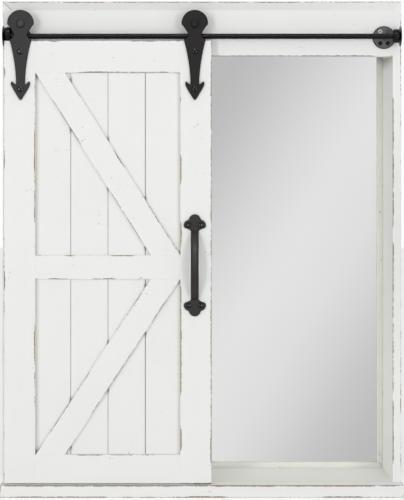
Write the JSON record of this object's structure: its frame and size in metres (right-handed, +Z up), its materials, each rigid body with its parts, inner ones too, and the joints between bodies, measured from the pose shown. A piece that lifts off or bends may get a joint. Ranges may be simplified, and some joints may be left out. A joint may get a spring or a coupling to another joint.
{
  "type": "barn door wall cabinet",
  "caption": "Wall cabinet with a mirror bay and a shelved bay behind a K-braced plank door that slides along a rod on grooved wheels and arrow-ended straps.",
  "frame": {"origin": "middle of the underside, on the back plane that lies on the wall", "axes": "+X to the viewer's right, +Y into the wall, +Z up; the front faces -Y"},
  "size_m": [0.56, 0.1675, 0.692],
  "materials": {
    "painted_wood": "white paint, worn through to the wood at the edges",
    "raw_board": "unpainted hardboard",
    "mirror": "silvered glass",
    "black_steel": "satin black powder coat",
    "grey_steel": "satin dark grey",
    "dark_bronze": "oil-rubbed, satin",
    "zinc": "zinc plated"
  },
  "bodies": {
    "cabinet": {"side_left": "painted_wood", "side_right": "painted_wood", "top_panel": "painted_wood", "bottom_panel": "painted_wood", "header_rail": "painted_wood", "base_ledge": "painted_wood", "divider": "painted_wood", "shelf_lower": "painted_wood", "shelf_upper": "painted_wood", "hanging_rail": "painted_wood", "back_panel": "raw_board", "back_panel_pins": "zinc", "mirror_glass": "mirror", "mirror_bead_left": "painted_wood", "mirror_bead_right": "painted_wood", "mirror_bead_top": "painted_wood", "mirror_bead_bottom": "painted_wood", "rail_rod": "black_steel", "stop_ring_left": "black_steel", "stop_ring_right": "black_steel", "rail_end_cap_left": "black_steel", "rail_end_cap_right": "black_steel", "rail_bracket_left": "grey_steel", "rail_bracket_right": "grey_steel", "bracket_screws": "grey_steel", "keyhole_plate_left": "zinc", "keyhole_plate_right": "zinc", "keyhole_screws": "zinc", "door_guide": "black_steel", "guide_screws": "black_steel"},
    "door": {"door_stile_left": "painted_wood", "door_stile_right": "painted_wood", "door_rail_top": "painted_wood", "door_rail_mid": "painted_wood", "door_rail_bottom": "painted_wood", "door_brace_upper": "painted_wood", "door_brace_lower": "painted_wood", "door_plank_1": "painted_wood", "door_plank_2": "painted_wood", "door_plank_3": "painted_wood", "door_plank_4": "painted_wood", "hanger_left": "black_steel", "hanger_right": "black_steel", "axle_bolt_left": "black_steel", "axle_bolt_right": "black_steel", "axle_nut_left": "black_steel", "axle_nut_right": "black_steel", "hanger_screws": "black_steel", "pull_handle": "dark_bronze", "handle_screws": "dark_bronze"},
    "roller_left": {"roller_left": "black_steel"},
    "roller_right": {"roller_right": "black_steel"}
  },
  "joints": [
    {"name": "door_slide", "type": "slide", "parent": "cabinet", "child": "door", "axis": [1, 0, 0], "range_m": [0, 0.2526]},
    {"name": "roller_left_turn", "type": "hinge", "parent": "door", "child": "roller_left", "pos_m": [-0.2524, -0.135, 0.6577], "axis": [0, 1, 0], "continuous": true},
    {"name": "roller_right_turn", "type": "hinge", "parent": "door", "child": "roller_right", "pos_m": [-0.01, -0.135, 0.6577], "axis": [0, 1, 0], "continuous": true}
  ],
  "couplings": [
    {"joint": "roller_left_turn", "follows": "door_slide", "rad_per_m": 78.431},
    {"joint": "roller_right_turn", "follows": "door_slide", "rad_per_m": 78.431}
  ]
}
